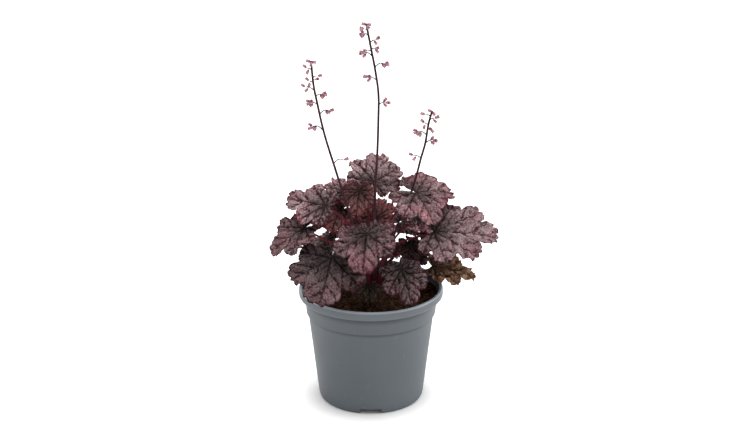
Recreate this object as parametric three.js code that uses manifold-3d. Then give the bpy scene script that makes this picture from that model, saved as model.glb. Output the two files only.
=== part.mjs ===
// A heuchera (coral bells) growing in a round plastic nursery pot: a rosette of lobed leaves on long
// stalks, and three flower stems with small bells on short twigs.
// Millimetres, +Z up. The origin is the centre of the pot's underside, on the surface it stands on.
// The front of the plant faces -Y and its widest leaf reaches towards +X.
import * as THREE from "three";
import { mergeVertices } from "three/addons/utils/BufferGeometryUtils.js";
import Module from "manifold-3d";

const wasm = await Module();
wasm.setup();

// ---------------------------------------------------------------- driving dimensions

const GAP = 0.3; // clearance between pieces

const POT = {
  rimRadius: 70,
  height: 114,
  wall: 1.4,
  lipHeight: 9.5,
  lipWidth: 3.6,
  bandTop: 64.4, // outer radius of the band under the lip
  bandBottom: 62.9,
  bandHeight: 17,
  bodyTop: 61.2,
  footRadius: 51.2,
  cornerIn: 1.6, // the foot's edge is rounded in by this much
  cornerRise: 3.2,
  floorHeight: 6, // the floor's underside stands this far up
  padRadius: 15, // middle of the floor, which rests on the surface
  notchWidth: 21,
  notchHeight: 5.4,
  notches: 4,
  drainRadius: 3.5,
  drainCircle: 36,
  sides: 40,
};

const SOIL = { top: 105.5, bump: 1.2, rings: [15, 30, 46], sides: 20 };

const CROWN = { radius: 19, top: 111, bottom: 94, holeRadius: 1.7, holeDepth: 8, sides: 16 };
const SPOTS = { count: 30, spacing: 2.85, turn: 137.5 }; // where stalks stand in the crown

const BLADE = { thickness: 0.8, middleRing: 0.56, innerRing: 0.24, teeth: 0.17 };
const STALK = { radius: 1.25, tipRadius: 1, sides: 5, steps: 4, straight: 3 };
const STEM = { radius: 1.2, tipRadius: 0.6, steps: 11 };
const TWIG = { radius: 0.45, rise: 0.42, sides: 3, fan: 80 };
const BELL = { shoulderAt: 1.9, length: 4.7, shoulder: 1.3, mouth: 1.55, sides: 4 };

// ---------------------------------------------------------------- small helpers

const { degToRad, lerp, clamp } = THREE.MathUtils;
const vec = (x, y, z) => new THREE.Vector3(x, y, z);

// The level direction that a heading stands for: 0 is -Y (front), 90 is +X, 180 is +Y.
const headed = (heading) => vec(Math.sin(degToRad(heading)), -Math.cos(degToRad(heading)), 0);

// Repeatable draws between 0 and 1.
function drawsFrom(seed) {
  let state = seed * 2654435761;
  return () => {
    state = (state + 0x6d2b79f5) | 0;
    let t = Math.imul(state ^ (state >>> 15), 1 | state);
    t = (t + Math.imul(t ^ (t >>> 7), 61 | t)) ^ t;
    return ((t ^ (t >>> 14)) >>> 0) / 4294967296;
  };
}

// A closed three.js geometry as a solid that can be joined and cut.
function solidOf(geometry) {
  const bare = new THREE.BufferGeometry().setAttribute("position", geometry.getAttribute("position"));
  if (geometry.index) bare.setIndex(geometry.index);
  const merged = mergeVertices(bare, 1e-4);
  return new wasm.Manifold(
    new wasm.Mesh({
      numProp: 3,
      vertProperties: new Float32Array(merged.attributes.position.array),
      triVerts: new Uint32Array(merged.index.array),
    }),
  );
}

// A solid as a named, flat-shaded mesh.
function meshOf(name, solid, material) {
  const { vertProperties, triVerts } = solid.getMesh();
  const geometry = new THREE.BufferGeometry()
    .setAttribute("position", new THREE.BufferAttribute(new Float32Array(vertProperties), 3))
    .setIndex(new THREE.BufferAttribute(new Uint32Array(triVerts), 1))
    .toNonIndexed();
  geometry.computeVertexNormals();
  const mesh = new THREE.Mesh(geometry, material);
  mesh.name = name;
  return mesh;
}

// A rod through a row of points, its radius given point by point.
function rodThrough(centres, sides, radii) {
  const last = centres.length - 1;
  const points = [];
  let side = vec(1, 0, 0);
  centres.forEach((centre, i) => {
    const before = centres[Math.max(i - 1, 0)];
    const ahead = centres[Math.min(i + 1, last)].clone().sub(before).normalize();
    if (Math.abs(side.dot(ahead)) > 0.9) side = vec(0, 1, 0);
    side = side.clone().addScaledVector(ahead, -side.dot(ahead)).normalize();
    const other = ahead.clone().cross(side);
    for (let k = 0; k < sides; k++) {
      const turn = (k / sides) * 2 * Math.PI;
      const out = side.clone().multiplyScalar(Math.cos(turn)).addScaledVector(other, Math.sin(turn));
      points.push(centre.clone().addScaledVector(out, radii[i]));
    }
  });
  const foot = points.push(centres[0]) - 1;
  const tip = points.push(centres[last]) - 1;
  const index = [];
  for (let k = 0; k < sides; k++) {
    const next = (k + 1) % sides;
    for (let row = 0; row < last; row++) {
      const low = row * sides;
      const high = low + sides;
      index.push(low + k, low + next, high + k, low + next, high + next, high + k);
    }
    index.push(foot, next, k, tip, last * sides + k, last * sides + next);
  }
  return solidOf(new THREE.BufferGeometry().setFromPoints(points).setIndex(index));
}

// A solid turned about the Z axis from (radius, height) pairs that start and end on the axis.
function turned(profile, sides, shape = (point) => point) {
  const outline = profile.map(([radius, height]) => new THREE.Vector2(radius, height));
  const geometry = new THREE.LatheGeometry(outline, sides).rotateX(Math.PI / 2);
  const position = geometry.getAttribute("position");
  const point = vec(0, 0, 0);
  for (let i = 0; i < position.count; i++) {
    const { x, y, z } = shape(point.fromBufferAttribute(position, i));
    position.setXYZ(i, x, y, z);
  }
  return solidOf(geometry);
}

// ---------------------------------------------------------------- pot

const lipFoot = POT.height - POT.lipHeight;
const bandFoot = lipFoot - POT.bandHeight;
const floorTop = POT.floorHeight + POT.wall;
const wallRadiusAt = (z) => lerp(POT.footRadius, POT.bodyTop, z / bandFoot);

// The pot's inner wall from the floor up, as (radius, height) pairs.
const INNER_WALL = [
  [wallRadiusAt(floorTop) - 2 * POT.wall, floorTop],
  [wallRadiusAt(floorTop + 2) - POT.wall, floorTop + 2],
  [POT.bodyTop - POT.wall, bandFoot - POT.wall],
  [POT.bandBottom - POT.wall, bandFoot + POT.wall],
  [POT.bandTop - POT.wall, lipFoot - 1],
  [POT.rimRadius - POT.lipWidth, lipFoot + 2.4],
  [POT.rimRadius - POT.lipWidth, POT.height - 0.7],
];

function potSolid() {
  const foot = POT.footRadius - POT.cornerIn;
  let pot = turned(
    [
      [0, 0],
      [POT.padRadius, 0],
      [POT.padRadius + 1.2, POT.floorHeight],
      [foot - 1.8, POT.floorHeight],
      [foot - 1.4, 0],
      [foot, 0],
      [foot + 0.7 * POT.cornerIn, 0.35 * POT.cornerRise],
      [wallRadiusAt(POT.cornerRise), POT.cornerRise],
      [POT.bodyTop, bandFoot],
      [POT.bandBottom, bandFoot + 0.5],
      [POT.bandTop, lipFoot],
      [POT.rimRadius - 1, lipFoot + 0.6],
      [POT.rimRadius, lipFoot + 2],
      [POT.rimRadius, POT.height - 2],
      [POT.rimRadius - 0.9, POT.height - 0.3],
      [POT.rimRadius - 0.5 * POT.lipWidth, POT.height],
      ...INNER_WALL.toReversed(),
      [POT.padRadius - 0.6, floorTop],
      [POT.padRadius - 1.6, POT.wall],
      [0, POT.wall],
    ],
    POT.sides,
  );
  // Notches in the foot ring, narrower at the top, each with a drain hole behind it.
  for (let k = 0; k < POT.notches; k++) {
    const turn = -Math.PI / 2 + (k * 2 * Math.PI) / POT.notches;
    const notch = new THREE.BoxGeometry(14, POT.notchWidth, 2 * POT.notchHeight);
    const corners = notch.getAttribute("position");
    for (let i = 0; i < corners.count; i++)
      if (corners.getZ(i) > 0) corners.setY(i, 0.85 * corners.getY(i));
    const drain = new THREE.CylinderGeometry(POT.drainRadius, POT.drainRadius, 8, 10);
    drain.rotateX(Math.PI / 2).translate(POT.drainCircle, 0, POT.floorHeight);
    for (const cut of [notch.translate(POT.footRadius - 1, 0, 0), drain])
      pot = pot.subtract(solidOf(cut.rotateZ(turn)));
  }
  return pot;
}

// ---------------------------------------------------------------- crown and soil

// The crown is the short woody lump that every stalk and stem grows from. `extra` makes it larger.
function crownSolid(extra = 0) {
  const { radius, top, bottom, sides } = CROWN;
  const profile = [
    [0, bottom - extra],
    [0.75 * radius + extra, bottom - extra],
    [radius + extra, bottom + 6],
    [radius + extra, SOIL.top - 2],
    [0.92 * radius + extra, top - 3 + extra],
    [0.55 * radius, top + extra],
    [0, top + extra],
  ];
  return turned(profile, sides, (point) => {
    const turn = Math.atan2(point.y, point.x);
    const wobble = 1 + 0.04 * Math.sin(2 * turn + 1) + 0.03 * Math.sin(5 * turn);
    return point.set(point.x * wobble, point.y * wobble, point.z);
  });
}

function crownWithHoles(roots) {
  let crown = crownSolid();
  for (const { x, y } of roots) {
    const ends = [vec(x, y, CROWN.top - CROWN.holeDepth), vec(x, y, CROWN.top + CROWN.holeDepth)];
    crown = crown.subtract(rodThrough(ends, STALK.sides, [CROWN.holeRadius, CROWN.holeRadius]));
  }
  return crown;
}

function soilSolid() {
  const wall = INNER_WALL.filter(([, z]) => z < SOIL.top);
  const [lowRadius, lowZ] = wall.at(-1);
  const [highRadius, highZ] = INNER_WALL[wall.length];
  const edge = lerp(lowRadius, highRadius, (SOIL.top - lowZ) / (highZ - lowZ));
  const draw = drawsFrom(7);
  const waves = [3, 5, 8].map((count) => ({
    count,
    phase: 6.3 * draw(),
    size: SOIL.bump / Math.sqrt(count),
  }));
  const profile = [
    [0, POT.wall + GAP],
    [POT.padRadius - 1.6 - 2 * GAP, POT.wall + GAP],
    [POT.padRadius - 0.6 - 2 * GAP, floorTop + GAP],
    ...wall.map(([radius, z], i) => [radius - 2 * GAP, i === 0 ? z + GAP : z]),
    [edge - 2 * GAP, SOIL.top],
    ...SOIL.rings.toReversed().map((radius) => [radius, SOIL.top + 0.8]),
    [0, SOIL.top + 0.8],
  ];
  const soil = turned(profile, SOIL.sides, (point) => {
    if (point.z <= SOIL.top) return point;
    const turn = Math.atan2(point.y, point.x);
    const reach = Math.hypot(point.x, point.y) / 20;
    for (const wave of waves) point.z += wave.size * Math.sin(wave.count * turn + wave.phase + 2 * reach);
    return point;
  });
  return soil.subtract(crownSolid(GAP));
}

// ---------------------------------------------------------------- leaves

// Half the fan of lobes, from the tip round to the stalk. `bearing` is the angle of a lobe's vein from
// the midrib and `edge` that of the notch after it; `reach` is the lobe's length and `notch` the
// distance of that notch from the stalk, as shares of the leaf's size.
const HALF_FAN = [
  { bearing: 0, edge: 23, reach: 1, notch: 0.73 },
  { bearing: 45, edge: 68, reach: 0.93, notch: 0.67 },
  { bearing: 92, edge: 117, reach: 0.8, notch: 0.55 },
  { bearing: 140, edge: 166, reach: 0.6, notch: 0.12 },
];
const LAST = HALF_FAN.length - 1;

// Where a lobe's outline has a corner, as a share of its width: three teeth and the notch before them.
const CORNERS = [-1, -0.62, -0.31, 0, 0.31, 0.62];

// All seven lobes of a leaf, in order of angle.
function fanOf({ spread, taper, middle = 1 }) {
  const half = HALF_FAN.map((lobe, k) => ({
    bearing: spread * lobe.bearing,
    edge: spread * lobe.edge,
    reach: lobe.reach * taper ** k,
    notch: lobe.notch * taper ** (k + 0.5),
  }));
  const fan = [];
  for (let k = -LAST; k <= LAST; k++) {
    const lobe = half[Math.abs(k)];
    const outer = { angle: Math.sign(k || 1) * lobe.edge, notch: lobe.notch };
    const before = half[Math.abs(k) - 1] ?? lobe;
    const inner = { angle: (Math.sign(k) || -1) * before.edge, notch: before.notch };
    const [from, to] = k < 0 ? [outer, inner] : [inner, outer];
    const reach = lobe.reach * (k === 0 ? middle : 1);
    fan.push({ bearing: Math.sign(k) * lobe.bearing, reach, from, to });
  }
  return fan;
}

const angleIn = (lobe, t) => lerp(lobe.bearing, (t < 0 ? lobe.from : lobe.to).angle, Math.abs(t));

// Distance from the stalk to the leaf's edge at share t (-1 to 1) of a lobe's width.
function edgeOf(lobe, t, teeth = BLADE.teeth) {
  const notch = lerp(lobe.from.notch, lobe.to.notch, (t + 1) / 2);
  const round = (1 - Math.abs(t) ** 3) ** 0.55;
  const scallop = Math.abs(Math.cos((Math.PI * t) / 0.62)) ** 0.7;
  return notch + (lobe.reach - notch) * round * (1 - teeth + teeth * scallop);
}

// The leaf's own directions: along its midrib, out of its upper face, and to its left side.
function leafAxes({ heading, pitch, roll }) {
  const along = headed(heading).multiplyScalar(Math.cos(degToRad(pitch)));
  along.z = Math.sin(degToRad(pitch));
  const level = headed(heading).multiplyScalar(-Math.sin(degToRad(pitch)));
  level.z = Math.cos(degToRad(pitch));
  const turn = -degToRad(roll);
  return {
    along,
    up: level.clone().applyAxisAngle(along, -turn),
    left: level.clone().cross(along).applyAxisAngle(along, -turn),
  };
}

// Gives the place in space of a point of the leaf: share t of a lobe's width, at a reach from the stalk.
function leafSurface(leaf) {
  const { at, size, curl, cup, pleat = 0.07, ruffle = 0.05 } = leaf;
  const fan = fanOf(leaf);
  const { along, up, left } = leafAxes(leaf);
  const draw = drawsFrom(leaf.seed);
  const sway = fan.map(() => 0.5 * (draw() - 0.5));
  const phase = 6.3 * draw();
  const place = (k, t, reach) => {
    const angle = degToRad(angleIn(fan[k], t));
    const [c, s] = [Math.cos(angle), Math.sin(angle)];
    const beside = sway[(k + (t < 0 ? fan.length - 1 : 1)) % fan.length];
    const bend = curl * c * c * (c > 0 ? 1 : 0.3) + cup * s * s + lerp(sway[k], beside, (t * t) / 2);
    const turn = bend * reach;
    const out = Math.abs(turn) < 1e-4 ? reach : Math.sin(turn) / bend;
    const drop = Math.abs(turn) < 1e-4 ? 0 : (1 - Math.cos(turn)) / bend;
    const fold = -0.5 * pleat * reach * Math.cos(Math.PI * t);
    const wave = ruffle * reach ** 3 * Math.sin(3 * angle + phase);
    return vec(...at)
      .addScaledVector(along, size * out * c)
      .addScaledVector(left, size * out * s)
      .addScaledVector(up, size * (fold + wave - drop));
  };
  return { fan, place, up, along };
}

// The blade: rings of points round the stalk, a thickness apart above and below, joined into a solid.
function bladeSolid(leaf) {
  const { fan, place, up } = leafSurface(leaf);
  const rings = [[], [], []];
  fan.forEach((lobe, k) => {
    for (const t of CORNERS) {
      const inward = Math.min(BLADE.middleRing, 0.8 * edgeOf(lobe, t, 0));
      rings[0].push({ k, t, reach: edgeOf(lobe, t) });
      if (t === -1 || Math.abs(t) === 0.31) rings[1].push({ k, t, reach: inward });
      if (t === -1) rings[2].push({ k, t, reach: Math.min(BLADE.innerRing, 0.6 * inward + 0.02) });
    }
  });
  const back = fan.at(-1).to.notch;
  [1, 0.75, 0.5].forEach((share, ring) => {
    rings[ring].push({ k: fan.length - 1, t: 1, reach: share * back });
    rings[ring][0].reach = share * back;
  });

  const points = [];
  const above = [];
  const below = [];
  const addSpot = (middle, normal) => {
    above.push(points.push(middle.clone().addScaledVector(normal, 0.5 * BLADE.thickness)) - 1);
    below.push(points.push(middle.clone().addScaledVector(normal, -0.5 * BLADE.thickness)) - 1);
  };
  const step = 0.02;
  for (const { k, t, reach } of rings.flat()) {
    const outward = place(k, t, reach + step).sub(place(k, t, reach - step));
    const ahead = place(k, Math.min(t + step, 1), reach).sub(place(k, Math.max(t - step, -1), reach));
    addSpot(place(k, t, reach), outward.cross(ahead).normalize());
  }
  addSpot(vec(...leaf.at), up);
  const hub = above.length - 1;

  const index = [];
  const addFaces = (a, b, c) =>
    index.push(above[a], above[b], above[c], below[a], below[c], below[b]);
  const addWall = (a, b) => index.push(above[a], below[a], above[b], above[b], below[a], below[b]);
  const starts = [0, rings[0].length, rings[0].length + rings[1].length];
  const angleOf = ({ k, t }) => angleIn(fan[k], t);
  // Joins a ring to the one inside it, stepping along both in order of angle.
  for (const ring of [0, 1]) {
    const [outer, inner] = [rings[ring], rings[ring + 1]];
    let [a, b] = [0, 0];
    while (a + 1 < outer.length || b + 1 < inner.length) {
      const onOuter =
        b + 1 === inner.length ||
        (a + 1 < outer.length && angleOf(outer[a + 1]) <= angleOf(inner[b + 1]) + 1e-6);
      const [p, q] = [starts[ring] + a, starts[ring + 1] + b];
      if (onOuter) addFaces(q, p, p + 1);
      else addFaces(q, p, q + 1);
      if (onOuter) a++;
      else b++;
    }
  }
  rings[2].slice(1).forEach((_, k) => addFaces(hub, starts[2] + k, starts[2] + k + 1));
  rings[0].slice(1).forEach((_, k) => addWall(k, k + 1));
  const first = [hub, starts[2], starts[1], starts[0]];
  const final = rings.map((ring, k) => starts[k] + ring.length - 1);
  first.slice(1).forEach((spot, k) => addWall(first[k], spot));
  [...final, hub].slice(1).forEach((spot, k) => addWall(final[k], spot));
  return solidOf(new THREE.BufferGeometry().setFromPoints(points).setIndex(index));
}

// The leaf's stalk: straight up out of the crown, then arching out to the blade.
function stalkSolid(leaf, root) {
  const { along, up } = leafSurface(leaf);
  const foot = vec(root.x, root.y, CROWN.top - CROWN.holeDepth + GAP);
  const collar = vec(root.x, root.y, CROWN.top + STALK.straight);
  const end = vec(...leaf.at).addScaledVector(up, -2 * STALK.radius);
  const span = end.distanceTo(collar);
  const arrive = end.clone().sub(collar).setZ(0).normalize().multiplyScalar(0.7);
  arrive.addScaledVector(along, 0.3).setZ(leaf.rise ?? 0.6).normalize();
  const arch = new THREE.CubicBezierCurve3(
    collar,
    collar.clone().setZ(collar.z + (leaf.lift ?? 0.4) * span),
    end.clone().addScaledVector(arrive, -0.35 * span),
    end,
  );
  const centres = [foot, ...arch.getPoints(STALK.steps), vec(...leaf.at)];
  const radii = centres.map((_, i) => lerp(STALK.radius, STALK.tipRadius, i / (centres.length - 1)));
  return rodThrough(centres, STALK.sides, radii);
}

// Leaves as they stand on the plant. `at` is where the stalk meets the blade; `heading` is the way
// the tip points; `pitch` is its slope and `roll` its tilt to the side; `size` is the length of the
// middle lobe, before `middle` scales that lobe alone. `spread` widens the fan of lobes, `taper`
// shortens each lobe against the one before, `curl` bends the blade down along its midrib and `cup`
// across it. Where given, `root` is the point of the crown that the stalk would like to stand on,
// `lift` the share of its way that it goes straight up first and `rise` how steeply it meets the blade.
const OUTER_LEAVES = [
  {
    at: [3, 20, 212], heading: 170, pitch: 40, roll: 18,
    size: 40.5, spread: 0.95, taper: 0.91, curl: 0.44, cup: 0.16,
  },
  {
    at: [43, 6, 206], heading: 72, pitch: -11, roll: 16, middle: 0.72,
    size: 44, spread: 0.97, taper: 1.02, curl: 0.41, cup: 0.17,
  },
  {
    at: [59, -20, 176], heading: 82, pitch: 2, roll: 22, lift: 0.62, rise: 0.3,
    size: 61.5, spread: 0.75, taper: 0.93, curl: 0.07, cup: 0.33,
  },
  {
    at: [-42, -22, 202], heading: -111, pitch: 6, roll: -42,
    size: 41, spread: 0.95, taper: 0.8, curl: 0.21, cup: 0.26,
  },
  {
    at: [-62, -25, 181], heading: -79, pitch: -24, roll: -23,
    size: 41.4, spread: 0.98, taper: 0.83, curl: 0.75, cup: -0.2,
  },
  {
    at: [-36, -50, 161], heading: -12, pitch: -26, roll: 1,
    size: 56.8, spread: 1.06, taper: 0.84, curl: 0.28, cup: -0.2,
  },
  {
    at: [-4, -52, 185], heading: -7, pitch: -21, roll: 9, middle: 1.13,
    size: 41, spread: 1.05, taper: 0.93, curl: 0.52, cup: -0.31,
  },
  {
    at: [28, -60, 153], heading: 24, pitch: -35, roll: 4,
    size: 34, spread: 1.02, taper: 0.9, curl: 0.48, cup: 0.18,
  },
  {
    at: [58, -30, 145], heading: 84, pitch: -4, roll: 16, bronze: true,
    size: 42, spread: 0.75, taper: 0.82, curl: 0.28, cup: 0.11,
  },
  {
    at: [-2, -36, 127], heading: 5, pitch: -22, roll: -1, bronze: true,
    size: 20, spread: 0.88, taper: 0.95, curl: 0.5, cup: 0.17,
  },
];

// Smaller leaves in the middle of the rosette, and what they have in common.
const SMALL = { roll: 0, spread: 1, taper: 0.9, curl: 0.4, cup: 0.2 };
const INNER_LEAVES = [
  { ...SMALL, at: [-27, 15, 203], heading: -165, pitch: 34, size: 25.1 },
  { ...SMALL, at: [-11, 7, 208], root: [-9, -2], heading: -12, pitch: -46, size: 26, bronze: true },
  { ...SMALL, at: [-30, 6, 188], heading: -69, pitch: -17, roll: -22, size: 31 },
  { ...SMALL, at: [43, 1, 182], heading: 64, pitch: -24, size: 23 },
  { ...SMALL, at: [37, -1, 157], heading: 46, pitch: -30, size: 27 },
  { ...SMALL, at: [54, 15, 160], heading: 85, pitch: -4, size: 25, bronze: true },
  { ...SMALL, at: [4, 24, 175], heading: 171, pitch: 28, size: 30.1 },
];

// Leaves round the back, in tiers that take turns.
const BACK = { count: 9, from: 110, to: 250, tiers: [140, 172, 158], size: 36.5, seed: 29 };

function backLeaves() {
  const draw = drawsFrom(BACK.seed);
  return Array.from({ length: BACK.count }, (_, i) => {
    const heading = lerp(BACK.from, BACK.to, i / (BACK.count - 1)) + 8 * (draw() - 0.5);
    const tier = BACK.tiers[i % BACK.tiers.length];
    const height = (tier - BACK.tiers[0]) / (BACK.tiers[1] - BACK.tiers[0]);
    const out = headed(heading).multiplyScalar(lerp(54, 40, height) + 6 * (draw() - 0.5));
    return {
      at: [out.x, out.y, tier + 6 * (draw() - 0.5)],
      heading,
      pitch: lerp(-28, 12, height) + 8 * (draw() - 0.5),
      roll: 16 * (draw() - 0.5),
      size: BACK.size * (0.9 + 0.25 * draw()),
      spread: 0.95,
      taper: 0.9,
      curl: 0.4,
      cup: 0.2,
    };
  });
}

// ---------------------------------------------------------------- flower stems

// Each stem's way up from the crown, and its twigs: how far below the tip they stand, the heading
// they reach out to, their length and their number of bells, which spread out as a fan.
const STEMS = [
  {
    path: [
      [-19, -10, 185], [-32, -12, 231], [-43, -14, 270],
      [-49, -15, 299], [-52, -15, 315], [-54, -15, 338],
    ],
    twigs: [
      { below: 1, heading: 0, reach: 1.5, bells: 3, fan: 230 },
      { below: 8.5, heading: -80, reach: 4, bells: 2 },
      { below: 15.5, heading: 80, reach: 4, bells: 1 },
      { below: 18, heading: 60, reach: 2, bells: 1 },
      { below: 20, heading: -70, reach: 3, bells: 2 },
      { below: 27.5, heading: -95, reach: 8, bells: 2 },
      { below: 33, heading: 75, reach: 6, bells: 4 },
      { below: 41, heading: -75, reach: 5.5, bells: 4 },
      { below: 50.5, heading: 95, reach: 8.5, bells: 4 },
      { below: 67, heading: -85, reach: 10, bells: 4 },
      { below: 100, heading: 80, reach: 9, bells: 1 },
    ],
  },
  {
    path: [
      [4, -6, 206], [6, -8, 248], [7, -9, 281], [7, -10, 307],
      [4, -10, 329], [0, -10, 350], [-4, -10, 371],
    ],
    twigs: [
      { below: 1, heading: 20, reach: 1.5, bells: 3, fan: 230 },
      { below: 6, heading: -70, reach: 2, bells: 1 },
      { below: 11, heading: -85, reach: 4, bells: 3 },
      { below: 17.5, heading: 85, reach: 5.5, bells: 2 },
      { below: 24, heading: 70, reach: 3, bells: 2 },
      { below: 26, heading: -60, reach: 3.5, bells: 1 },
      { below: 31, heading: -95, reach: 8.5, bells: 3 },
      { below: 41, heading: 80, reach: 9, bells: 3 },
      { below: 53, heading: -80, reach: 8, bells: 4 },
      { below: 76, heading: 90, reach: 6, bells: 4 },
    ],
  },
  {
    path: [
      [28.5, 10.4, 180], [38.6, 8, 206], [43.6, 7.2, 224], [47, 6, 239],
      [51, 4, 255], [54, 3, 275], [57, 2, 287],
    ],
    twigs: [
      { below: 1, heading: 0, reach: 1.5, bells: 2, fan: 230 },
      { below: 5.5, heading: -80, reach: 4, bells: 1 },
      { below: 9.5, heading: 85, reach: 4.5, bells: 3 },
      { below: 14, heading: -75, reach: 3, bells: 2 },
      { below: 18, heading: 60, reach: 2.5, bells: 2 },
      { below: 24, heading: -85, reach: 8, bells: 4 },
      { below: 32.5, heading: 90, reach: 7, bells: 4 },
      { below: 48, heading: -90, reach: 7, bells: 2 },
    ],
  },
];

// A flower bell that hangs from a point of its twig.
function bellSolid(from, direction) {
  const { shoulderAt, length, shoulder, mouth, sides } = BELL;
  const profile = [[0, 0], [shoulder, shoulderAt], [mouth, length], [0, length - 0.5]];
  const turn = new THREE.Quaternion().setFromUnitVectors(vec(0, 0, 1), direction);
  return turned(profile, sides, (point) => point.applyQuaternion(turn).add(from));
}

function stemSolid({ path, twigs }, root, seed) {
  const foot = vec(root.x, root.y, CROWN.top - CROWN.holeDepth + GAP);
  const collar = vec(root.x, root.y, CROWN.top + STALK.straight);
  const marks = [collar, ...path.map((point) => vec(...point))];
  const way = new THREE.CatmullRomCurve3(marks, false, "centripetal");
  const centres = [foot, ...way.getSpacedPoints(STEM.steps)];
  const radii = centres.map((_, i) => lerp(STEM.radius, STEM.tipRadius, i / (centres.length - 1)));
  const draw = drawsFrom(seed);
  const parts = [rodThrough(centres, STALK.sides, radii)];
  const length = way.getLength();
  for (const { below, heading, reach, bells, fan = TWIG.fan } of twigs) {
    const start = way.getPointAt(1 - below / length);
    const out = headed(heading + 30 * (draw() - 0.5));
    const end = start.clone().addScaledVector(out, reach).add(vec(0, 0, TWIG.rise * reach));
    const middle = start.clone().lerp(end, 0.6);
    parts.push(rodThrough([start, end], TWIG.sides, [TWIG.radius, TWIG.radius]));
    for (let i = 0; i < bells; i++) {
      const across = bells === 1 ? 0 : i / (bells - 1) - 0.5;
      const side = headed(heading + fan * across + 30 * (draw() - 0.5));
      const rise = 0.7 - 2 * ((i * 0.618 + draw() * 0.3) % 1);
      const from = i % 2 === 1 && reach > 3 ? middle : end.clone().lerp(start, 0.05);
      parts.push(bellSolid(from, side.setZ(rise).normalize()));
    }
  }
  return parts.reduce((whole, part) => whole.add(part));
}

// ---------------------------------------------------------------- the plant

const leaves = [...OUTER_LEAVES, ...INNER_LEAVES, ...backLeaves()];
leaves.forEach((leaf, i) => (leaf.seed = i + 1));

// Where each stem and stalk would like to stand in the crown: on the side it leans to, the stems in
// the middle and the lowest leaves outermost.
const wishes = [
  ...STEMS.map(({ path }) => vec(path[0][0], path[0][1], 0).multiplyScalar(0.12)),
  ...leaves.map(({ at, root = at }) => {
    const distance = clamp(15 * ((212 - at[2]) / 70), 2, 15);
    return vec(root[0], root[1], 0).normalize().multiplyScalar(distance);
  }),
];
// The spots are dealt out, then swapped in pairs while that brings them nearer to the wishes.
const roots = Array.from({ length: SPOTS.count }, (_, k) =>
  headed(k * SPOTS.turn).multiplyScalar(SPOTS.spacing * Math.sqrt(k + 0.5)),
);
const strain = (i, spot) => (i < wishes.length ? wishes[i].distanceToSquared(spot) : 0);
for (let swapped = true; swapped; ) {
  swapped = false;
  for (let i = 0; i < roots.length; i++)
    for (let k = 0; k < i; k++)
      if (strain(i, roots[k]) + strain(k, roots[i]) < strain(i, roots[i]) + strain(k, roots[k]) - 1e-6) {
        [roots[i], roots[k]] = [roots[k], roots[i]];
        swapped = true;
      }
}
const stemRoots = roots.slice(0, STEMS.length);
const leafRoots = roots.slice(STEMS.length, wishes.length);

const paint = (color, roughness) => new THREE.MeshStandardMaterial({ color, roughness, metalness: 0 });
const plant = new THREE.Group();
plant.add(meshOf("pot", potSolid(), paint(0x6b7379, 0.55)));
plant.add(meshOf("soil", soilSolid(), paint(0x2c1c14, 1)));
plant.add(meshOf("crown", crownWithHoles(roots.slice(0, wishes.length)), paint(0x3a2622, 0.9)));
leaves.forEach((leaf, i) => {
  const name = `leaf_${String(i + 1).padStart(2, "0")}`;
  const solid = bladeSolid(leaf).add(stalkSolid(leaf, leafRoots[i]));
  plant.add(meshOf(name, solid, leaf.bronze ? paint(0x62503c, 0.6) : paint(0x6a4f53, 0.6)));
});
STEMS.forEach((stem, i) => {
  plant.add(meshOf(`flower_stem_${i + 1}`, stemSolid(stem, stemRoots[i], 20 + i), paint(0x8c3a4b, 0.6)));
});

export default plant;
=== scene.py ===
import math
from types import SimpleNamespace as Values

import bpy
import numpy as np
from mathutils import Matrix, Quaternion, Vector
from mathutils.geometry import interpolate_bezier


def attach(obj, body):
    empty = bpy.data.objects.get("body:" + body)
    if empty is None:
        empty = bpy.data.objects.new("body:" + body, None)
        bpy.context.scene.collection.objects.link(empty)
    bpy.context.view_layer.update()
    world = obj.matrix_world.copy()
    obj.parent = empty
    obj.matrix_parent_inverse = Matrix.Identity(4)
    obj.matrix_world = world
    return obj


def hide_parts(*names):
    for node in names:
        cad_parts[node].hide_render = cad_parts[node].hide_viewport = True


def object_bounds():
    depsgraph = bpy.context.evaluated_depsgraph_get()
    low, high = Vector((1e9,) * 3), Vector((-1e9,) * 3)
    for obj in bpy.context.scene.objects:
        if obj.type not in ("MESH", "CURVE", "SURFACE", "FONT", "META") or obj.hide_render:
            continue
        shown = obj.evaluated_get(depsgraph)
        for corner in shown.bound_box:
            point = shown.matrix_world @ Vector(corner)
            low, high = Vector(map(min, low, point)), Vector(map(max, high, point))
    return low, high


# A heuchera in a nursery pot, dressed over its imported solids. Its forms follow the same values and rules
# as the solids, and add what those leave out. Lengths are millimetres until a mesh is made. Materials
# measure in metres, but for a leaf's own places and distances, which stay in millimetres.
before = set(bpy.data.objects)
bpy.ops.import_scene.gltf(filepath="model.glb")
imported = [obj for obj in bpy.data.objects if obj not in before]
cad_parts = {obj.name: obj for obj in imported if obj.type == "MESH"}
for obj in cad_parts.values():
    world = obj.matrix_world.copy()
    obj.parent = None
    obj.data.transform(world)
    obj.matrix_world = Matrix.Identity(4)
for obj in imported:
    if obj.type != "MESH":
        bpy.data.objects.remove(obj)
cad_box = [list(corner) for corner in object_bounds()]
MM = 0.001

# ---------------- values shared with the solids

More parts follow.
